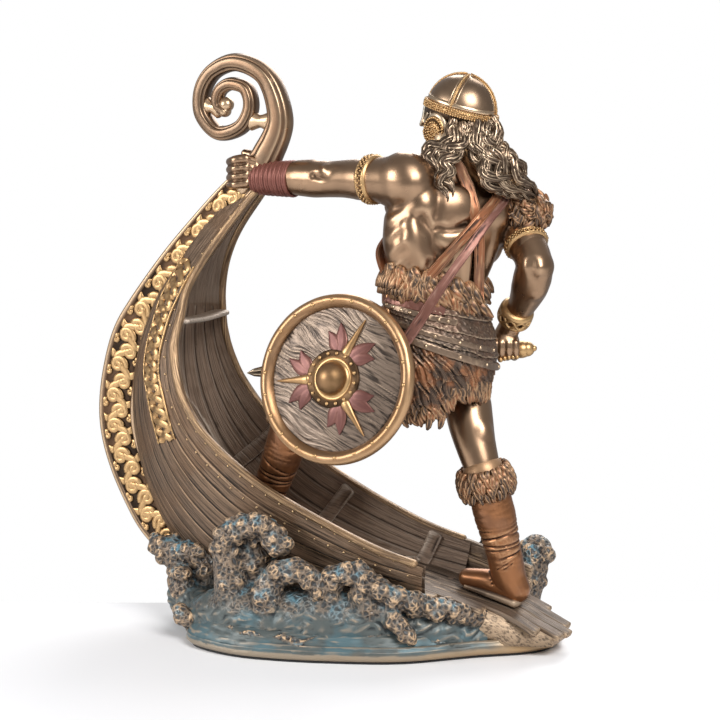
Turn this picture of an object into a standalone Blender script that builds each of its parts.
"""Figurine of a Viking warrior stepping up into the bow of a longship.

Cold-cast resin with a bronze finish, in three pieces: the casting with the warrior, the half ship and the
sea that carries it, the round shield that hangs on the left hip, and the felt pad under the base.
The frame has X to the right of someone looking at the warrior's back, Y away from them and Z up. The origin
is on the underside of the felt pad, below the ship.
"""
import math

import bmesh
import bpy
import numpy as np

# Driving sizes, in metres
STATUE_HEIGHT = 0.272
FELT_THICKNESS = 0.001
FELT_INSET = 0.0015
GLUE_GAP = 0.0003
BASE_EDGE_HEIGHT = 0.008
HULL_WALL = 0.0032
RAIL_WIDTH = 0.0042
STEM_BOARD_THICKNESS = 0.0085
STEM_BOARD_WIDTH = 0.021
SCROLL_THICKNESS = 0.0105
SHIELD_RADIUS = 0.0384
SHIELD_THICKNESS = 0.0036
SHIELD_DOME = 0.0032
RIM_WIDTH = 0.0062
RIM_HEIGHT = 0.0030
BOSS_RING_RADIUS = 0.0113
BOSS_RADIUS = 0.0074
BOSS_HEIGHT = 0.0085
BLADE_WIDTH = 0.0076
BLADE_THICKNESS = 0.0030

# Surface of the casting
VOXEL = 0.00085
CASTING_TRIANGLES = 8600

# The casting's free forms keep their proportions: one share is a 272nd of the height
SHARE = STATUE_HEIGHT / 272.0

# The ship's own frame: along its centre line to the bow, out to port, and up
SHIP_YAW = math.radians(25.0)
SHIP_ORIGIN = np.array([54.2, -11.4, 0.0])
TO_BOW = np.array([-math.cos(SHIP_YAW), math.sin(SHIP_YAW), 0.0])
TO_PORT = np.array([-math.sin(SHIP_YAW), -math.cos(SHIP_YAW), 0.0])
UP = np.array([0.0, 0.0, 1.0])

# Rail stations from the stem aft: along, half beam, height
RAIL = [(98.4, 4.6, 207.4), (112.5, 7.5, 190.0), (121.5, 12.0, 176.0), (127.5, 17.5, 162.0),
        (129.6, 21.0, 149.0), (130.6, 25.5, 136.0), (127.5, 29.0, 122.0), (121.8, 31.5, 110.0),
        (112.0, 33.2, 97.5), (97.0, 33.8, 85.0), (78.0, 32.8, 72.5), (50.0, 31.0, 59.3),
        (23.0, 30.0, 48.8), (1.0, 29.5, 43.2)]
# The foot of the planks at each of these stations: along, height
GARBOARD = [(121.0, 197.0), (131.5, 184.0), (140.0, 172.0), (149.0, 160.0),
            (155.5, 148.0), (161.5, 132.0), (165.5, 112.0), (164.5, 88.0),
            (157.5, 62.0), (143.0, 38.0), (121.0, 20.0), (84.0, 9.0),
            (44.0, 6.0), (6.0, 5.0)]
# Leading edge of the stem board, from the sea up to the hand and on to the scroll's neck
STEM_EDGE = [(134.0, 14.0), (142.6, 22.8), (153.2, 30.5), (163.3, 40.1), (170.4, 50.8), (178.8, 67.3),
             (184.3, 84.1), (185.8, 100.0), (183.5, 118.2), (177.6, 137.9), (168.0, 153.4),
             (148.5, 177.7), (130.1, 197.3), (117.6, 209.6), (106.0, 219.5)]
# Deck height along the ship
DECK_ALONG = [-54.0, -44.0, -31.0, -4.0, 20.0, 60.0, 97.0, 112.0, 125.0, 135.0, 150.0]
DECK_HEIGHT = [9.0, 13.0, 19.5, 27.0, 31.5, 39.5, 47.0, 54.0, 65.0, 82.0, 108.0]
# Far rail aft of the broken near side: along, height
FAR_RAIL = [(6.0, 44.5), (1.7, 43.8), (-12.7, 39.4), (-27.8, 34.6)]
SCROLL_EYE = np.array([114.0, 250.0])
SCROLL_RADII = [38.5, 30.5, 24.3, 19.6, 15.6, 14.4, 15.3, 16.2, 14.2, 12.4, 11.0, 7.9, 6.3, 5.8, 6.2, 5.9]
SCROLL_START = math.radians(243.0)
BASE_OUTLINE = [(-66.0, -14.0), (-48.0, -31.0), (-26.0, -39.5), (0.0, -44.0), (32.0, -45.0), (66.0, -34.0),
                (92.0, -27.0), (105.0, -14.0), (106.0, 8.0), (103.0, 34.0), (80.0, 47.0), (40.0, 54.0),
                (0.0, 60.0), (-36.0, 66.0), (-62.0, 63.0), (-73.0, 46.0), (-71.0, 22.0), (-69.0, 4.0)]


def spline(points, count):
    """Points spread over a smooth curve that runs through the given ones."""
    points = np.asarray(points, float)
    padded = np.vstack([2 * points[0] - points[1], points, 2 * points[-1] - points[-2]])
    curve = []
    for step in np.linspace(0, len(points) - 1, count):
        first = min(int(step), len(points) - 2)
        t = step - first
        a, b, c, d = padded[first:first + 4]
        curve.append(0.5 * (2 * b + (c - a) * t + (2 * a - 5 * b + 4 * c - d) * t ** 2
                            + (3 * b - a - 3 * c + d) * t ** 3))
    return np.array(curve)


def closed_spline(points, count):
    """The same for a closed outline."""
    points = np.asarray(points, float)
    total = len(points)
    wrapped = np.vstack([points[-2:], points, points[:3]])
    curve = spline(wrapped, (len(wrapped) - 1) * 24 + 1)
    ring = curve[2 * 24:(2 + total) * 24]
    return ring[np.linspace(0, len(ring), count, endpoint=False).astype(int)]


def unit(vector):
    vector = np.asarray(vector, float)
    return vector / np.linalg.norm(vector)


def loft(rings):
    """Closed skin over a row of rings with equal counts, with flat ends."""
    rings = [np.asarray(ring, float) for ring in rings]
    count = len(rings[0])
    points = np.vstack(rings + [rings[0].mean(axis=0)[None], rings[-1].mean(axis=0)[None]])
    faces = []
    for row in range(len(rings) - 1):
        for k in range(count):
            after = (k + 1) % count
            faces.append((row * count + k, row * count + after,
                          (row + 1) * count + after, (row + 1) * count + k))
    first_centre = len(rings) * count
    last = (len(rings) - 1) * count
    for k in range(count):
        after = (k + 1) % count
        faces.append((first_centre, after, k))
        faces.append((first_centre + 1, last + k, last + after))
    return points, faces


def tube(points, across, deep=None, facing=None, sides=14, samples=None, squareness=1.0):
    """Closed tube with rounded ends along a smooth curve.

    across and deep are half sizes at each given point, and facing is the direction that deep runs along.
    """
    points = np.asarray(points, float)
    samples = samples or max(6, 5 * len(points))
    path = spline(points, samples)
    share = np.linspace(0, 1, len(points))
    fine = np.linspace(0, 1, samples)
    across = np.interp(fine, share, np.broadcast_to(across, len(points)))
    deep = across if deep is None else np.interp(fine, share, np.broadcast_to(deep, len(points)))
    tangents = np.gradient(path, axis=0)
    tangents /= np.linalg.norm(tangents, axis=1)[:, None]
    normal = np.asarray(facing if facing is not None else (0.31, -0.9, 0.3), float)
    turns = np.linspace(0, 2 * math.pi, sides, endpoint=False)
    rings = []

    def ring(centre, tangent, wide, thick):
        side = np.cross(tangent, normal)
        side = unit(side)
        front = unit(np.cross(side, tangent))
        cosine = np.sign(np.cos(turns)) * np.abs(np.cos(turns)) ** squareness
        sine = np.sign(np.sin(turns)) * np.abs(np.sin(turns)) ** squareness
        return centre + np.outer(cosine * wide, side) + np.outer(sine * thick, front)

    for lean in (80, 50, 25):
        angle = math.radians(lean)
        size = math.cos(angle)
        reach = min(across[0], deep[0]) * math.sin(angle)
        rings.append(ring(path[0] - tangents[0] * reach, tangents[0], across[0] * size, deep[0] * size))
    for k in range(samples):
        rings.append(ring(path[k], tangents[k], across[k], deep[k]))
    for lean in (25, 50, 80):
        angle = math.radians(lean)
        size = math.cos(angle)
        reach = min(across[-1], deep[-1]) * math.sin(angle)
        rings.append(ring(path[-1] + tangents[-1] * reach, tangents[-1], across[-1] * size, deep[-1] * size))
    return loft(rings)


def ball(centre, radii, turn=0.0, lean=0.0, sides=16):
    """Ellipsoid with radii across, deep and high, turned about Z and then leaned about its own X."""
    radii = np.broadcast_to(radii, 3)
    rows = []
    for latitude in np.linspace(-math.pi / 2, math.pi / 2, sides // 2 + 1)[1:-1]:
        row = []
        for k in range(sides):
            longitude = 2 * math.pi * k / sides
            row.append((math.cos(latitude) * math.cos(longitude) * radii[0],
                        math.cos(latitude) * math.sin(longitude) * radii[1],
                        math.sin(latitude) * radii[2]))
        rows.append(row)
    points, faces = loft(rows)
    points[-2] = (0, 0, -radii[2])
    points[-1] = (0, 0, radii[2])
    tip = np.array([[1, 0, 0], [0, math.cos(lean), -math.sin(lean)], [0, math.sin(lean), math.cos(lean)]])
    spin = np.array([[math.cos(turn), -math.sin(turn), 0], [math.sin(turn), math.cos(turn), 0], [0, 0, 1]])
    return points @ tip.T @ spin.T + np.asarray(centre, float), faces


def ship_point(along, port, height):
    """A point of the ship's own frame, in shares."""
    return SHIP_ORIGIN + TO_BOW * along + TO_PORT * port + UP * height


def deck_height(along):
    return float(np.interp(along, DECK_ALONG, DECK_HEIGHT))


def station(share):
    """Rail and garboard at a share of the way aft: (along, half beam, height), (along, height)."""
    rail = RAIL_CURVE[int(round(share * (len(RAIL_CURVE) - 1)))]
    foot = GARBOARD_CURVE[int(round(share * (len(GARBOARD_CURVE) - 1)))]
    return rail, foot


HULL_STATIONS = 66
RAIL_CURVE = spline(RAIL, HULL_STATIONS)
GARBOARD_CURVE = spline(GARBOARD, HULL_STATIONS)
STRAKES = 8
STRAKE_STEP = 0.9


def hull_half(share):
    """Outer profile of one side at a share aft: rows of along, out, height from the garboard to the rail."""
    rail, foot = station(share)
    rows = []
    for k in range(25):
        v = k / 24
        along = foot[0] + (rail[0] - foot[0]) * v
        height = foot[1] + (rail[2] - foot[1]) * v
        out = 3.6 + (rail[1] - 3.6) * math.sin(v * math.pi / 2) ** 0.85
        lap = (v * STRAKES) % 1.0
        swell = STRAKE_STEP * min(1.0, (rail[1] - 4.0) / 12.0) * (1.0 - lap)
        if v > 0.98:
            swell = STRAKE_STEP
        rows.append((along, out + swell, height))
    return rows


def hull():
    """The planked shell: open above, with a solid floor up to the deck."""
    wall = HULL_WALL / SHARE
    rings = []
    for row in range(HULL_STATIONS):
        share = row / (HULL_STATIONS - 1)
        outer = hull_half(share)
        inner = []
        for k, (along, out, height) in enumerate(outer):
            v = k / 24
            inside = max(out - wall, 0.4) * min(1.0, max(0.0, (v - 0.22) / 0.2)) ** 0.5
            inner.append((along, inside, min(max(height, deck_height(along)), outer[-1][2])))
        ring = [ship_point(a, p, z) for a, p, z in reversed(outer)]
        ring += [ship_point(a, -p, z) for a, p, z in outer]
        ring += [ship_point(a, -p, z) for a, p, z in reversed(inner[5:])]
        ring += [ship_point(a, p, z) for a, p, z in inner[5:]]
        rings.append(ring)
    return loft(rings)


def rails():
    """The rounded rail on both sides."""
    half = RAIL_WIDTH / SHARE / 2
    pieces = []
    for side in (1, -1):
        path = [ship_point(a, side * (b - 0.6), z) for a, b, z in RAIL_CURVE[::3]]
        pieces.append(tube(path, half, half * 0.85, facing=UP, sides=8, samples=90))
    return pieces


def stem():
    """The stem board, with a raised bead along both edges of each face, and the scroll above it."""
    width = STEM_BOARD_WIDTH / SHARE
    half = STEM_BOARD_THICKNESS / SHARE / 2
    edge = spline(STEM_EDGE, 70)
    directions = np.gradient(edge, axis=0)
    directions /= np.linalg.norm(directions, axis=1)[:, None]
    inward = np.stack([-directions[:, 1], directions[:, 0]], axis=1)
    profile = [(0.0, -0.62), (0.0, 0.62), (0.08, 1.0), (0.16, 0.80), (0.80, 0.80), (0.88, 1.0), (1.0, 0.80),
               (1.0, -0.80), (0.88, -1.0), (0.80, -0.80), (0.16, -0.80), (0.08, -1.0)]
    rings = []
    narrowing = np.interp(np.arange(70), [0, 10, 50, 69], [1.1, 1.0, 1.0, 0.62])
    for place, across, narrow in zip(edge, inward, narrowing):
        ring = []
        for depth, side in profile:
            spot = place + across * depth * width * narrow
            ring.append(ship_point(spot[0], side * half, spot[1]))
        rings.append(ring)
    pieces = [loft(rings)]
    neck = [(136.0, 178.0), (119.0, 197.0), (107.0, 209.0), (99.5, 217.5), (94.5, 224.0)]
    route = [ship_point(a, 0.0, z) for a, z in neck]
    angles = SCROLL_START - np.arange(len(SCROLL_RADII)) * math.pi / 4
    for angle, radius in list(zip(angles, SCROLL_RADII))[1:]:
        spot = SCROLL_EYE + radius * np.array([math.cos(angle), math.sin(angle)])
        route.append(ship_point(spot[0], 0.0, spot[1]))
    in_plane = np.interp(np.arange(len(route)), [0, 2, 4, 6, 9, 13, 17, 19], [8.5, 6.0, 4.3, 4.2, 4.0, 3.4, 2.7, 2.4])
    half = SCROLL_THICKNESS / SHARE / 2
    thick = np.interp(np.arange(len(route)), [0, 4, 13, 19], [half * 0.9, half, half * 0.85, half * 0.7])
    pieces.append(tube(route, in_plane, thick, facing=TO_PORT, sides=12, samples=120, squareness=0.8))
    end = SCROLL_EYE + np.array([1.2, -2.2])
    pieces.append(ball(ship_point(end[0], 0.0, end[1]), (3.4, 3.6, 3.4)))
    pieces.append(tube([ship_point(96.0, 0, 250.0), ship_point(104.0, 0, 249.5)], 1.9, 2.4))
    pieces.append(tube([ship_point(118.0, 0, 241.0), ship_point(124.5, 0, 237.0)], 1.9, 2.4))
    return pieces


def stem_knotwork():
    """Raised S-curves that fill the face of the stem board on both sides."""
    width = STEM_BOARD_WIDTH / SHARE
    half = STEM_BOARD_THICKNESS / SHARE / 2
    edge = spline(STEM_EDGE, 141)
    directions = np.gradient(edge, axis=0)
    directions /= np.linalg.norm(directions, axis=1)[:, None]
    inward = np.stack([-directions[:, 1], directions[:, 0]], axis=1)
    pieces = []
    for side in (1, -1):
        route = []
        for row in range(14, 122, 2):
            swing = 0.48 + 0.24 * math.sin(row * 2 * math.pi / 14)
            spot = edge[row] + inward[row] * width * swing
            route.append(ship_point(spot[0], side * half * 0.86, spot[1]))
        pieces.append(tube(route, 1.5, 1.3, facing=TO_PORT, sides=6, samples=160))
    return pieces


def deck():
    """The planked floor aft of the shell, the far side's wall beside it, and the frames inside the hull."""
    pieces = []
    rings = []
    for along in (24.0, 10.0, -4.0, -21.0, -34.0, -44.0, -50.5):
        port = float(np.interp(along, [-50.0, -21.0, 0.0, 24.0], [0.0, 11.0, 18.0, 22.0]))
        starboard = float(np.interp(along, [-50.0, -38.0, 24.0], [18.0, 27.0, 28.0]))
        top = deck_height(along)
        ring = [ship_point(along, port, 5.0), ship_point(along, port, top - 0.8),
                ship_point(along, port - 0.8, top), ship_point(along, -starboard, top),
                ship_point(along, -starboard, 5.0)]
        rings.append(ring)
    pieces.append(loft(rings))
    wall = HULL_WALL / SHARE
    rings = []
    for along, height in spline(FAR_RAIL, 20):
        out = 29.3
        ring = [ship_point(along, -out, height), ship_point(along, -out + wall, height),
                ship_point(along, -out + wall + 3.5, deck_height(along) - 1.0),
                ship_point(along, -out + 3.0, 6.0), ship_point(along, -out - 1.0, height - 12.0)]
        rings.append(ring)
    pieces.append(loft(rings))
    for share in (0.63, 0.78, 0.92):
        for side in (1, -1):
            rib = []
            for k in (23, 18, 13, 9):
                a, b, z = hull_half(share)[k]
                rib.append(ship_point(a, side * (b - wall - 0.6), max(z, deck_height(a))))
            pieces.append(tube(rib, 1.9, 1.7, facing=TO_PORT, sides=8))
    a, b, z = hull_half(0.31)[23]
    brace = [ship_point(a, b - 1.5, z - 2.0), ship_point(a + 1.0, 0, z - 3.0), ship_point(a, -b + 1.5, z - 2.0)]
    pieces.append(tube(brace, 3.0, 1.8, facing=UP, sides=8))
    return pieces


def sea_base():
    """The mound of water that the ship rides on."""
    outline = closed_spline(BASE_OUTLINE, 96)
    centre = np.array([8.0, 2.0])
    floor = (FELT_THICKNESS + GLUE_GAP) / SHARE
    lip = BASE_EDGE_HEIGHT / SHARE
    rings = []
    for size, height in ((0.978, floor), (1.0, floor + 1.6), (1.0, lip * 0.55), (0.985, lip),
                         (0.93, lip + 4.0), (0.84, lip + 7.5), (0.70, lip + 10.5), (0.45, lip + 12.5)):
        ring = []
        for x, y in outline:
            spot = centre + (np.array([x, y]) - centre) * size
            fall = float(np.interp(spot[0], [-60.0, 40.0, 104.0], [1.0, 0.85, 0.35]))
            ring.append((spot[0], spot[1], floor + (height - floor) * (fall if height > lip else 1.0)))
        rings.append(ring)
    return loft(rings)


# Breaking waves: each is a route, its radii, and how many foam lumps sit on it
WAVES = [
    ([(-72.0, 34.0, 12.0), (-70.0, 36.0, 24.0), (-77.0, 39.0, 33.0), (-84.0, 41.0, 35.5)], [9, 9, 8, 5.5], 12),
    ([(-62.0, 28.0, 14.0), (-60.0, 30.0, 27.0), (-63.0, 31.0, 34.0), (-72.0, 33.0, 33.0)], [9, 8, 6.5, 5], 8),
    ([(-60.0, 14.0, 8.0), (-68.0, 20.0, 15.0), (-75.0, 24.0, 22.0), (-71.0, 22.0, 26.0)], [7, 6, 5, 4], 8),
    ([(-56.0, -2.0, 6.0), (-66.0, 0.0, 9.0), (-70.5, 2.0, 12.0)], [6, 5, 3.2], 5),
    ([(-44.0, -14.0, 10.0), (-47.0, -14.0, 34.0), (-49.0, -14.0, 50.0), (-41.0, -15.0, 57.0),
      (-31.0, -17.0, 56.5), (-23.5, -21.0, 49.0)], [11, 8, 6, 5.5, 5.5, 5], 22),
    ([(-38.0, -6.0, 10.0), (-36.0, -6.0, 34.0), (-36.0, -8.0, 48.0)], [14, 11, 8], 0),
    ([(-26.0, -24.0, 8.0), (-30.0, -27.0, 28.0), (-26.0, -28.0, 37.0), (-17.0, -29.0, 40.5),
      (-9.0, -31.0, 36.0), (-6.0, -33.0, 30.0)], [10, 7, 5.5, 5, 5, 4], 18),
    ([(-8.0, -24.0, 8.0), (-4.0, -28.0, 24.0), (-1.0, -31.0, 35.0), (8.0, -32.0, 39.5),
      (17.0, -34.0, 35.0)], [13, 9, 5.5, 5, 4.5], 16),
    ([(20.0, -26.0, 8.0), (16.0, -32.0, 24.0), (15.0, -35.0, 34.0), (24.0, -37.0, 31.0),
      (36.0, -37.0, 26.0), (52.0, -33.0, 22.0), (66.0, -28.0, 18.0)], [13, 9, 5.5, 5, 4.5, 4, 3], 18),
    ([(22.0, -36.0, 22.0), (29.0, -41.0, 18.0), (35.0, -42.5, 13.0)], [5, 4, 3], 6),
    ([(86.0, 30.0, 6.0), (90.0, 31.0, 20.0), (94.0, 33.0, 30.0), (97.0, 33.0, 35.0)], [12, 11, 10, 8], 18),
    ([(76.0, 32.0, 8.0), (75.0, 30.0, 26.0), (75.0, 29.0, 38.0)], [10, 8, 5], 8),
    ([(-30.0, 52.0, 6.0), (-34.0, 50.0, 26.0), (-30.0, 47.0, 40.0), (-22.0, 46.0, 44.0)], [12, 9, 6, 5], 14),
    ([(10.0, 48.0, 6.0), (6.0, 46.0, 22.0), (10.0, 43.0, 34.0), (18.0, 42.0, 37.0)], [12, 9, 6, 5], 14),
    ([(44.0, 42.0, 6.0), (42.0, 40.0, 20.0), (46.0, 38.0, 30.0), (53.0, 37.0, 32.0)], [11, 8, 5.5, 4.5], 12),
    ([(-62.0, 56.0, 6.0), (-64.0, 54.0, 20.0), (-58.0, 53.0, 31.0), (-50.0, 52.0, 34.0)], [10, 8, 5.5, 4.5], 12),
]


def waves():
    """Curling crests, with lumps of foam spread over their upper side."""
    pieces = []
    golden = math.pi * (3.0 - math.sqrt(5.0))
    for number, (route, radii, lumps) in enumerate(WAVES):
        pieces.append(tube(route, radii, sides=12))
        crest = spline(route, 60)
        sizes = np.interp(np.linspace(0, 1, 60), np.linspace(0, 1, len(radii)), radii)
        for k in range(lumps):
            place = int(np.interp(k, [0, max(lumps - 1, 1)], [24, 59]))
            turn = k * golden + number
            reach = sizes[place] * 0.62
            spot = crest[place] + reach * np.array([math.cos(turn), -abs(math.sin(turn)), 0.6 * math.sin(2 * turn)])
            pieces.append(ball(spot, 2.7 + 0.9 * math.sin(3.1 * k + number), sides=10))
    return pieces


# The warrior. Heights are above the underside; the yaw turns his front from +Y towards the bow.
# Torso sections: centre, half width, half depth, yaw in degrees
TORSO = [((50.0, -9.0, 118.0), 18.0, 15.0, 50.0), ((50.0, -10.0, 130.0), 23.0, 18.0, 50.0),
         ((50.0, -10.0, 140.0), 24.5, 18.0, 50.0), ((48.5, -9.0, 152.0), 24.0, 17.0, 47.0),
         ((47.0, -8.0, 165.0), 23.0, 16.0, 42.0), ((48.3, -7.5, 176.0), 27.0, 17.5, 36.0),
         ((50.6, -7.0, 188.0), 31.0, 19.5, 32.0), ((52.5, -6.0, 199.0), 32.0, 20.0, 30.0),
         ((54.5, -4.5, 208.0), 30.0, 17.5, 30.0), ((55.5, -3.5, 215.0), 22.0, 13.5, 32.0),
         ((56.0, -2.5, 221.0), 14.0, 10.5, 36.0), ((56.5, -1.0, 228.0), 10.0, 10.0, 45.0)]
SHOULDER_LEFT = (34.5, -20.0, 215.0)
ELBOW_LEFT = (-1.3, 8.0, 214.5)
WRIST_LEFT = (-35.5, 29.0, 213.4)
HAND_LEFT = (-40.0, 32.5, 216.0)
SHOULDER_RIGHT = (81.0, 12.0, 203.0)
ELBOW_RIGHT = (91.5, -14.0, 177.0)
WRIST_RIGHT = (83.2, 10.0, 149.0)
HAND_RIGHT = (79.5, 15.0, 137.5)
HIP_LEFT = (38.0, -25.0, 133.0)
KNEE_LEFT = (-15.0, 9.0, 115.0)
ANKLE_LEFT = (-36.0, 25.0, 54.0)
HIP_RIGHT = (57.0, 2.0, 133.0)
KNEE_RIGHT = (67.5, -20.0, 87.0)
ANKLE_RIGHT = (80.5, -17.0, 35.0)
HEAD = (57.5, 0.5, 243.0)
HEAD_YAW = math.radians(67.0)
SWORD_POMMEL = (92.5, 13.0, 135.6)
SWORD_TIP = (-41.4, 35.0, 120.8)


def torso_section(height):
    heights = [row[0][2] for row in TORSO]
    centre = np.array([np.interp(height, heights, [row[0][k] for row in TORSO]) for k in range(3)])
    centre[2] = height
    wide = float(np.interp(height, heights, [row[1] for row in TORSO]))
    deep = float(np.interp(height, heights, [row[2] for row in TORSO]))
    yaw = math.radians(float(np.interp(height, heights, [row[3] for row in TORSO])))
    front = np.array([-math.sin(yaw), math.cos(yaw), 0.0])
    left = np.array([-math.cos(yaw), -math.sin(yaw), 0.0])
    return centre, wide, deep, front, left


def torso_ring(height, grow=0.0, sides=28):
    centre, wide, deep, front, left = torso_section(height)
    ring = []
    for k in range(sides):
        turn = 2 * math.pi * k / sides
        ring.append(centre + front * (deep + grow) * math.cos(turn) + left * (wide + grow) * math.sin(turn))
    return ring


def on_back(x, height, out=0.0):
    """The point of the torso's skin, or out from it, that is seen at x and height from behind."""
    centre, wide, deep, front, left = torso_section(height)
    turns = np.radians(np.arange(90.0, 271.0, 1.0))
    spots = (centre + np.outer(np.cos(turns) * (deep + out), front) + np.outer(np.sin(turns) * (wide + out), left))
    return spots[int(np.argmin(np.abs(spots[:, 0] - x)))]


def between(start, end, share, offset=(0.0, 0.0, 0.0)):
    start = np.asarray(start, float)
    return start + (np.asarray(end, float) - start) * share + np.asarray(offset, float)


def limb(start, end, radii, bulge=(0.0, 0.0, 0.0)):
    """A limb with its muscle's swell to one side."""
    spots = []
    steps = len(radii)
    for k in range(steps):
        share = k / (steps - 1)
        spots.append(between(start, end, share, np.asarray(bulge) * math.sin(math.pi * share)))
    return tube(spots, radii, sides=16)


def body():
    """Torso, limbs, hands and feet."""
    pieces = [loft([torso_ring(height) for height in np.linspace(118.5, 227.5, 40)])]
    # Back muscles beside the spine, the shoulder blades and the flanks
    pieces.append(tube([on_back(42.0, 172, -4), on_back(43.0, 190, -3.5), on_back(46, 206, -4)], [5, 6, 5]))
    pieces.append(tube([on_back(57.0, 172, -4), on_back(60.0, 190, -3.5), on_back(61, 206, -4)], [5, 6, 5]))
    pieces.append(ball(on_back(38.0, 202.0, -4.0), (9, 6, 10), turn=math.radians(30)))
    pieces.append(ball(on_back(68.0, 200.0, -4.0), (9, 6, 10), turn=math.radians(30)))
    pieces.append(tube([(30.0, -19.0, 204.0), (28.5, -18.0, 192.0), (31.0, -14.0, 178.0)], [7, 8, 5]))
    pieces.append(tube([(77.0, 6.0, 200.0), (74.0, 5.0, 190.0), (68.0, 4.0, 178.0)], [8, 8, 5]))
    pieces.append(tube([(56.0, -3.0, 224.0), (44.0, -12.0, 219.0), SHOULDER_LEFT], [9, 9, 9]))
    pieces.append(tube([(56.0, -3.0, 224.0), (70.0, 4.0, 213.0), SHOULDER_RIGHT], [9, 9, 9]))
    # The left arm, level and forward to the stem
    pieces.append(ball(between(SHOULDER_LEFT, ELBOW_LEFT, 0.08), (13, 12, 12.5), turn=math.radians(-39)))
    pieces.append(limb(SHOULDER_LEFT, ELBOW_LEFT, [11.5, 11.5, 10.6, 9.8, 8.8], (0, 0, 0.6)))
    pieces.append(limb(ELBOW_LEFT, WRIST_LEFT, [8.8, 9.1, 8.2, 7.0, 6.2], (0, 0, 0.6)))
    pieces.append(ball(between(ELBOW_LEFT, WRIST_LEFT, 0.0, (0, 0, 1.0)), (8.5, 8, 8.2)))
    # The right arm, bent, with the hand closed on the sword
    pieces.append(ball(SHOULDER_RIGHT, (12, 12, 12)))
    pieces.append(limb(SHOULDER_RIGHT, ELBOW_RIGHT, [11, 10.5, 9.8, 9, 8.4], (1.0, 0, 0)))
    pieces.append(limb(ELBOW_RIGHT, WRIST_RIGHT, [8.4, 8.8, 8.2, 6.6, 5.8], (1.5, 0, 0)))
    pieces += hands()
    # The left leg stands on the deck near the bow, the right one behind
    pieces.append(limb(HIP_LEFT, KNEE_LEFT, [16, 15.5, 13.5, 11.5, 9.8], (0, 0, 2.0)))
    pieces.append(limb(KNEE_LEFT, ANKLE_LEFT, [9.6, 9.4, 9.4, 8.0, 6.6], (1.5, -1.5, 0)))
    pieces.append(limb(HIP_RIGHT, KNEE_RIGHT, [15.5, 13.5, 11, 9.2, 8.2], (-1.0, -1.5, 0)))
    pieces.append(limb(KNEE_RIGHT, ANKLE_RIGHT, [8.6, 9.4, 9.0, 7.8, 7.2], (0.5, -2.0, 0)))
    pieces += feet()
    return pieces


def hands():
    pieces = []
    # Left fist around the stem: palm, four fingers over it, thumb below
    hand = np.asarray(HAND_LEFT)
    palm = hand + np.array([3.5, -3.0, 0.5])
    pieces.append(ball(palm, (7.0, 6.0, 7.2), turn=math.radians(-35)))
    for k in range(4):
        height = 6.2 - 3.6 * k
        knuckle = hand + np.array([-1.5, -7.5, height + 0.5])
        bend = hand + np.array([-5.5, -7.0, height])
        tip = hand + np.array([-8.0, -1.0, height - 0.8])
        pieces.append(tube([palm + np.array([0.0, -2.5, height * 0.8]), knuckle, bend, tip],
                           [2.5, 2.5, 2.3, 1.9], sides=10))
    pieces.append(tube([palm, palm + np.array([1.0, 3.0, 6.5]), palm + np.array([-5.0, 6.0, 8.5])],
                       [3.2, 2.6, 2.1], sides=10))
    # Right fist around the grip
    fist = np.asarray(HAND_RIGHT)
    pieces.append(ball(fist, (6.2, 6.0, 7.0)))
    for k in range(4):
        shift = 4.8 - 3.2 * k
        pieces.append(tube([fist + np.array([shift, -4.5, 3.5]), fist + np.array([shift, -6.8, -1.0]),
                            fist + np.array([shift, -3.5, -5.5])], [2.2, 2.3, 1.9], sides=10))
    return pieces


def feet():
    pieces = []
    heel = np.array([-32.5, 23.0, 49.0])
    toe = np.array([-61.0, 37.0, 50.5])
    pieces.append(tube([ANKLE_LEFT, heel], [7.4, 6.4]))
    pieces.append(tube([heel, between(heel, toe, 0.5, (0, 0, 1.5)), toe], [6.2, 6.4, 4.6], [5.0, 5.4, 3.8], facing=UP))
    heel = np.array([84.5, -17.5, 24.5])
    toe = np.array([62.5, -8.0, 31.5])
    pieces.append(tube([ANKLE_RIGHT, heel], [7.8, 7.0]))
    pieces.append(tube([heel, between(heel, toe, 0.5, (0, 0, 1.2)), toe], [6.6, 6.6, 5.0], [5.8, 5.2, 3.8], facing=UP))
    return pieces


def head():
    """Head with helmet, cheek guards and beard; the face is plain and calm."""
    forward = np.array([-math.sin(HEAD_YAW), math.cos(HEAD_YAW), 0.22])
    side = np.array([-math.cos(HEAD_YAW), -math.sin(HEAD_YAW), 0.0])
    centre = np.asarray(HEAD)
    pieces = [ball(centre + np.array([0, 0, -2.0]), (11.5, 13.5, 16.0), turn=HEAD_YAW, lean=math.radians(12))]
    pieces.append(ball(centre + np.array([0.6, 0, 2.6]), (15.0, 16.0, 16.6), turn=HEAD_YAW, lean=math.radians(10)))
    brow = []
    for k in range(33):
        turn = 2 * math.pi * k / 32
        brow.append(centre + forward * 16.2 * math.cos(turn) + side * 15.2 * math.sin(turn) + UP * 2.6)
    pieces.append(tube(brow, 1.4, 2.8, facing=UP, sides=8, samples=64))
    pieces.append(ball(centre + np.array([2.2, 0, 18.6]), (2.4, 2.4, 1.6)))
    pieces.append(tube([centre + forward * 12.5 + UP * 1.0, centre + forward * 14.8 - UP * 4.5,
                        centre + forward * 13.5 - UP * 7.0], [2.0, 2.2, 2.6]))
    pieces.append(tube([centre + forward * 12.2 - UP * 8.5, centre + forward * 13.0 - UP * 17.0,
                        centre + forward * 15.0 - UP * 29.0], [8.0, 7.5, 2.5], [6.0, 5.5, 2.2], facing=forward))
    for turn in (-1, 1):
        pieces.append(tube([centre + side * turn * 11.5 + forward * 3.0 - UP * 3.0,
                            centre + side * turn * 10.5 + forward * 7.0 - UP * 14.0], [4.5, 3.4], [2.6, 2.2],
                           facing=side))
    return pieces


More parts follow.
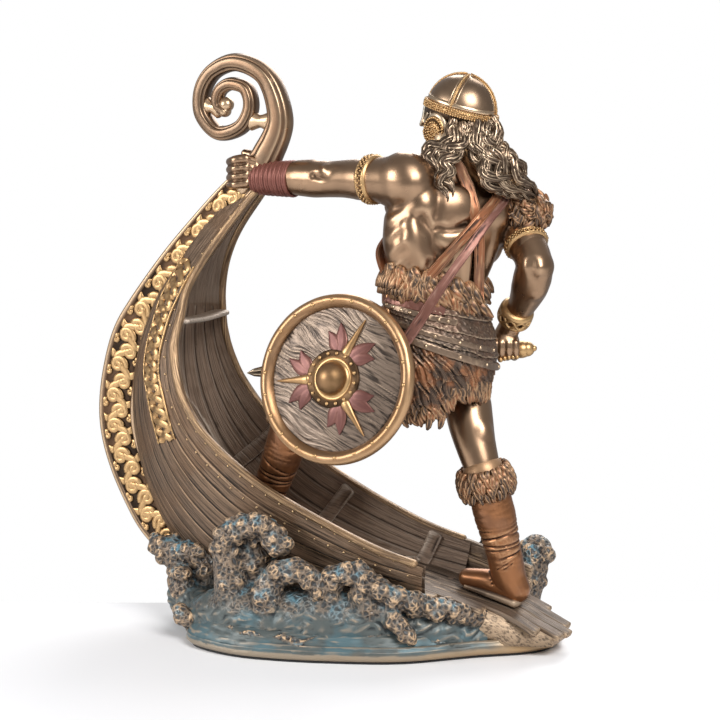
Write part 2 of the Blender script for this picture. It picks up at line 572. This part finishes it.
def lock(start, end, sag, radius, phase):
    """One wavy lock of hair."""
    start = np.asarray(start, float)
    end = np.asarray(end, float)
    route = []
    for k in range(7):
        share = k / 6
        wave = 1.6 * math.sin(share * 8.0 + phase)
        route.append(start + (end - start) * share + UP * (sag * math.sin(math.pi * share) + wave * 0.6)
                     + np.array([wave * 0.5, -wave, 0.0]))
    return tube(route, [radius * 0.8, radius, radius, radius, radius * 0.9, radius * 0.65, radius * 0.25],
                sides=8, samples=20)


def hair():
    """Wind-blown locks, from under the helmet over the nape and the right shoulder."""
    centre = np.asarray(HEAD)
    pieces = [ball((60.0, -5.0, 229.0), (14, 11, 14)), ball((71.0, -3.0, 216.0), (13, 10, 11))]
    count = 15
    for k in range(count):
        share = k / (count - 1)
        turn = math.radians(150 + 150 * share)
        start = centre + np.array([13.0 * math.cos(turn), 13.5 * math.sin(turn), -2.5])
        end = np.array([45.0 + 46.0 * share, -15.0 + 10.0 * share, 208.0 - 6.0 * math.sin(2.2 * k)])
        pieces.append(lock(start, end, 0.5, 3.4, 1.7 * k))
        low = end + np.array([-2.0 + 5.0 * share, -2.0, -7.0 + 3.0 * share])
        pieces.append(lock(start + np.array([0.5, -1.5, -3.0]), low, 0.0, 3.0, 2.3 * k + 1.0))
    return pieces


def tuft(root, direction, length, radius):
    """A pointed tuft of fur."""
    root = np.asarray(root, float)
    direction = unit(direction)
    return tube([root, root + direction * length * 0.5, root + direction * length],
                [radius, radius * 0.75, radius * 0.2], sides=6, samples=5)


def fur_ring(centre, normal, across, radius, tufts, length):
    """A rolled cuff of fur, with tufts that hang from it."""
    normal = unit(normal)
    first = unit(np.cross(normal, (0.1, 1.0, 0.2)))
    second = np.cross(normal, first)
    spots = []
    pieces = []
    for k in range(25):
        turn = 2 * math.pi * k / 24
        spots.append(np.asarray(centre) + across * (first * math.cos(turn) + second * math.sin(turn)))
    pieces.append(tube(spots, radius, sides=8, samples=48))
    for row in (-0.5, 0.6):
        for k in range(tufts):
            turn = 2 * math.pi * (k + 0.5 * (row > 0)) / tufts
            out = first * math.cos(turn) + second * math.sin(turn)
            root = np.asarray(centre) + out * across - normal * radius * row
            pieces.append(tuft(root, out * 0.8 - normal, length, 1.7))
    return pieces


def dress():
    """Fur skirt and waist trim, riveted belt plates, straps, cuffs and bands."""
    pieces = []
    # The skirt opens downwards and forwards over the left thigh
    rings = []
    for height, grow_wide, grow_deep, shift in ((168.0, 0.5, 0.5, 0.0), (158.0, 2.0, 2.0, 0.0), (146.0, 3.5, 4.0, -0.5),
                                                (134.0, 4.0, 6.5, -1.5), (122.0, 4.0, 8.5, -2.5),
                                                (112.0, 3.0, 9.5, -3.0)):
        centre, wide, deep, front, left = torso_section(max(height, 119.0))
        centre = centre + front * 1.5 + np.array([shift, 0.0, height - centre[2]])
        ring = []
        for k in range(32):
            turn = 2 * math.pi * k / 32
            ripple = 1.0 + 0.03 * math.sin(7 * turn) * (168.0 - height) / 50.0
            ring.append(centre + (front * (deep + grow_deep) * math.cos(turn)
                                  + left * (wide + grow_wide) * math.sin(turn)) * ripple)
        rings.append(ring)
    pieces.append(loft(rings))
    hem = np.array(rings[-1])
    hem_centre = hem.mean(axis=0)
    for row, height in enumerate((5.0, 1.5)):
        for k in range(26):
            out = hem[int(k * 32 / 26)] - hem_centre
            root = hem_centre + out * 0.93 + UP * height
            pieces.append(tuft(root, unit(out) * 0.35 - UP, 6.5 + 1.5 * math.sin(5 * k + row), 2.3))
    # The flap of the skirt on the raised left thigh
    pieces.append(tube([HIP_LEFT, between(HIP_LEFT, KNEE_LEFT, 0.25), between(HIP_LEFT, KNEE_LEFT, 0.45)],
                       [17.5, 17.0, 15.5]))
    # Fur trim above the belt, higher at the left
    for x in np.linspace(26.0, 68.0, 15):
        height = 172.5 - (x - 26.0) * 0.42
        pieces.append(ball(on_back(x, height, 1.6), (3.6, 3.4, 4.2), sides=10))
        pieces.append(tuft(on_back(x, height, 3.0), (0.3, -0.8, -1.0), 7.0, 2.0))
    # Belt plates from the left waist down to the right hip
    for low in (0.0, 8.0, 16.0):
        route = [on_back(x, 162.0 - low - (x - 24.0) * 0.52, 4.0 + low * 0.14) for x in (24, 34, 44, 54, 64, 73)]
        pieces.append(tube(route, 3.4, 1.5, facing=(0.1, -1.0, 0.1), sides=8))
    # Straps over the back
    pieces.append(tube([on_back(52.8, 218, 0.8), on_back(58.5, 211, 1.0), on_back(63.5, 202, 1.4),
                        on_back(65.0, 186, 1.2), on_back(65.0, 168, 1.6)], 2.9, 1.5, facing=(0.2, -1, 0), sides=8))
    pieces.append(tube([on_back(72.5, 207, 0.8), on_back(59.5, 192, 1.6), on_back(46.0, 177, 2.2)], 3.2, 1.5,
                       facing=(0, -1, 0), sides=8))
    pieces.append(tube([on_back(75.0, 205, 1.2), on_back(61.5, 188, 2.4), (47.5, -31.0, 168.3), (39.0, -33.5, 156.0),
                        (31.4, -34.5, 145.0)], 2.4, 1.4, facing=(-0.3, -1, 0.2), sides=8))
    # Bands on the arms, cord on the left wrist
    for share, radius in ((0.42, 10.6), (0.60, 10.0)):
        pieces.append(tube([between(SHOULDER_LEFT, ELBOW_LEFT, share - 0.035, (0, 0, 0.5)),
                            between(SHOULDER_LEFT, ELBOW_LEFT, share + 0.035, (0, 0, 0.5))], radius, samples=2))
    pieces.append(tube([between(SHOULDER_RIGHT, ELBOW_RIGHT, 0.62), between(SHOULDER_RIGHT, ELBOW_RIGHT, 0.72)],
                       10.2, samples=2))
    pieces.append(tube([between(ELBOW_LEFT, WRIST_LEFT, 0.52), between(ELBOW_LEFT, WRIST_LEFT, 1.0)],
                       [7.8, 6.9], samples=4))
    pieces.append(tube([between(ELBOW_RIGHT, WRIST_RIGHT, 0.88), between(ELBOW_RIGHT, WRIST_RIGHT, 1.02)],
                       8.0, samples=3))
    # Fur: the pad on the right shoulder and the boots' cuffs
    pieces.append(ball((89.0, 8.0, 199.0), (11, 12, 9)))
    for k in range(22):
        turn = k * 2.4
        root = np.array([89.0 + 9.0 * math.cos(turn), 6.0 - 9.0 * abs(math.sin(turn)), 204.0 - k * 0.55])
        pieces.append(tuft(root, (0.6 * math.cos(turn), -0.6, -1.0), 6.5, 2.0))
    top = between(KNEE_RIGHT, ANKLE_RIGHT, 0.14)
    pieces += fur_ring(top, np.asarray(KNEE_RIGHT) - ANKLE_RIGHT, 9.6, 4.2, 12, 5.5)
    top = between(KNEE_LEFT, ANKLE_LEFT, 0.14)
    pieces += fur_ring(top, np.asarray(KNEE_LEFT) - ANKLE_LEFT, 9.4, 4.0, 12, 5.5)
    # Windings on the boots
    for knee, ankle in ((KNEE_RIGHT, ANKLE_RIGHT), (KNEE_LEFT, ANKLE_LEFT)):
        for k in range(7):
            share = 0.34 + 0.085 * k
            middle = between(knee, ankle, share, (0.4, -1.2, 0.0) if knee is KNEE_RIGHT else (0.8, -0.8, 0.0))
            step = (np.asarray(ankle, float) - knee) * 0.022
            pieces.append(tube([middle - step, middle + step], 9.3 - 0.3 * k, samples=2))
    return pieces


def sword():
    """Blade held low in front of the body, with guard, grip and pommel."""
    pommel = np.asarray(SWORD_POMMEL)
    tip = np.asarray(SWORD_TIP)
    axis = unit(tip - pommel)
    guard = pommel + axis * 21.5
    flat = unit(np.cross(axis, UP))
    blade_half = BLADE_WIDTH / SHARE / 2
    thick = BLADE_THICKNESS / SHARE / 2
    start = guard + axis * 1.0
    pieces = [tube([start, between(start, tip, 0.5), between(start, tip, 0.93), tip],
                   [blade_half, blade_half, blade_half * 0.9, 0.6], [thick, thick, thick, 0.6], facing=flat, sides=8)]
    cross = np.cross(axis, flat)
    pieces.append(tube([guard - cross * 9.5, guard + cross * 9.5], 2.4, 2.2, samples=4, sides=8))
    pieces.append(tube([pommel + axis * 2.0, guard], 2.7, sides=10))
    pieces.append(ball(pommel, (3.6, 3.4, 4.6)))
    pieces.append(tube([pommel + axis * 2.6 - cross * 5.2, pommel + axis * 2.6 + cross * 5.2], 2.0, samples=4, sides=8))
    return pieces


def shield_frame():
    """Centre and directions of the shield: its normal, across and upright."""
    normal = unit((-0.467, -0.857, 0.216))
    upright = unit(np.array([0.20, 0.14, 0.98]) - normal * np.dot(normal, (0.20, 0.14, 0.98)))
    across = np.cross(upright, normal)
    return np.array([2.1, -33.0, 127.9]), normal, across, upright


def shield_pad():
    """A seat on the left hip that the shield's back meets."""
    centre, normal, across, upright = shield_frame()
    seat = centre - normal * (SHIELD_THICKNESS / 2 + GLUE_GAP + 0.0003) / SHARE
    spot = seat + across * 13.0 + upright * 6.0
    rings = []
    for depth, radius in ((22.0, 8.0), (6.0, 6.5), (0.0, 6.0)):
        ring = []
        for k in range(16):
            turn = 2 * math.pi * k / 16
            ring.append(spot - normal * depth + (across * math.cos(turn) + upright * math.sin(turn)) * radius)
        rings.append(ring)
    return loft(rings)


def mesh_object(name, points, faces, material):
    mesh = bpy.data.meshes.new(name)
    mesh.from_pydata([tuple(p) for p in points], [], [tuple(f) for f in faces])
    work = bmesh.new()
    work.from_mesh(mesh)
    bmesh.ops.recalc_face_normals(work, faces=work.faces)
    work.to_mesh(mesh)
    work.free()
    mesh.materials.append(material)
    item = bpy.data.objects.new(name, mesh)
    bpy.context.collection.objects.link(item)
    return item


def material(name, colour, roughness, metallic):
    made = bpy.data.materials.new(name)
    made.use_nodes = True
    shader = made.node_tree.nodes["Principled BSDF"]
    shader.inputs["Base Color"].default_value = (*colour, 1.0)
    shader.inputs["Roughness"].default_value = roughness
    shader.inputs["Metallic"].default_value = metallic
    return made


def evaluated(item):
    """A plain mesh of the object with its modifiers applied."""
    bpy.context.view_layer.update()
    graph = bpy.context.evaluated_depsgraph_get()
    return bpy.data.meshes.new_from_object(item.evaluated_get(graph))


def cast_in_one(name, pieces, finish, triangles):
    """Melt overlapping pieces into one skin, soften it and thin it out to the number of triangles."""
    points = []
    faces = []
    start = 0
    for piece_points, piece_faces in pieces:
        points.append(np.asarray(piece_points) * SHARE)
        faces += [tuple(start + k for k in face) for face in piece_faces]
        start += len(piece_points)
    points = np.vstack(points)
    points[:, 2] = np.maximum(points[:, 2], FELT_THICKNESS + GLUE_GAP)
    item = mesh_object(name, points, faces, finish)
    melt = item.modifiers.new("melt", "REMESH")
    melt.mode = "VOXEL"
    melt.voxel_size = VOXEL
    soften = item.modifiers.new("soften", "SMOOTH")
    soften.factor = 0.5
    soften.iterations = 2
    item.data = evaluated(item)
    item.modifiers.clear()
    item.data.materials.clear()
    item.data.materials.append(finish)
    quads = sum(len(polygon.vertices) - 2 for polygon in item.data.polygons)
    thin = item.modifiers.new("thin", "DECIMATE")
    thin.ratio = triangles / quads
    item.data = evaluated(item)
    item.modifiers.clear()
    item.data.shade_smooth()
    return item


def warrior_and_ship(finish):
    pieces = [hull()] + rails() + stem() + stem_knotwork() + deck() + [sea_base()] + waves()
    pieces += body() + head() + hair() + dress() + sword() + [shield_pad()]
    return cast_in_one("warrior_and_ship", pieces, finish, CASTING_TRIANGLES)


def shield(finish):
    """Turned disc with a domed face, a raised rim and a boss; its back is flat."""
    centre, normal, across, upright = shield_frame()
    inner = SHIELD_RADIUS - RIM_WIDTH
    back = -SHIELD_THICKNESS / 2
    edge = -back * 0.4
    dome = edge + SHIELD_DOME

    def face(radius):
        return edge + (dome - edge) * (1.0 - (radius / inner) ** 2)

    profile = [(SHIELD_RADIUS * 0.5, back), (SHIELD_RADIUS - 0.0008, back), (SHIELD_RADIUS, back + 0.001),
               (SHIELD_RADIUS, edge), (SHIELD_RADIUS - RIM_WIDTH * 0.2, edge + RIM_HEIGHT * 0.7),
               (SHIELD_RADIUS - RIM_WIDTH * 0.5, edge + RIM_HEIGHT), (SHIELD_RADIUS - RIM_WIDTH * 0.85, edge + RIM_HEIGHT * 0.75),
               (inner, edge), (inner * 0.6, face(inner * 0.6)), (BOSS_RING_RADIUS, face(BOSS_RING_RADIUS)),
               (BOSS_RING_RADIUS - 0.0006, dome + 0.0012), (BOSS_RADIUS + 0.0012, dome + 0.0012)]
    for k in range(5):
        turn = math.radians(18.0 * k)
        profile.append((BOSS_RADIUS * math.cos(turn), dome + 0.0012 + (BOSS_HEIGHT - 0.0012) * math.sin(turn)))
    sides = 40
    rings = []
    for radius, rise in profile:
        ring = []
        for k in range(sides):
            turn = 2 * math.pi * k / sides
            ring.append(centre * SHARE + normal * rise
                        + (across * math.cos(turn) + upright * math.sin(turn)) * radius)
        rings.append(ring)
    points, faces = loft(rings)
    points[-1] = centre * SHARE + normal * (dome + BOSS_HEIGHT)
    item = mesh_object("shield", points, faces, finish)
    item.data.shade_smooth()
    item.data.set_sharp_from_angle(angle=math.radians(35.0))
    return item


def felt_pad(finish):
    """Felt sheet cut to the base's outline."""
    outline = closed_spline(BASE_OUTLINE, 60) * SHARE
    centre = outline.mean(axis=0)
    reach = np.linalg.norm(outline - centre, axis=1)[:, None]
    outline = centre + (outline - centre) * (1.0 - (FELT_INSET + 0.002) / reach)
    low = [(x, y, 0.0) for x, y in outline]
    high = [(x, y, FELT_THICKNESS) for x, y in outline]
    count = len(outline)
    faces = [tuple(range(count)), tuple(range(count, 2 * count))]
    faces += [(k, (k + 1) % count, count + (k + 1) % count, count + k) for k in range(count)]
    return mesh_object("felt_pad", low + high, faces, finish)


for old in list(bpy.data.objects):
    bpy.data.objects.remove(old, do_unlink=True)

warrior_and_ship(material("cast_bronze", (0.30, 0.19, 0.12), 0.38, 0.85))
shield(material("shield_bronze", (0.55, 0.38, 0.20), 0.35, 0.9))
felt_pad(material("dark_felt", (0.02, 0.02, 0.02), 0.95, 0.0))
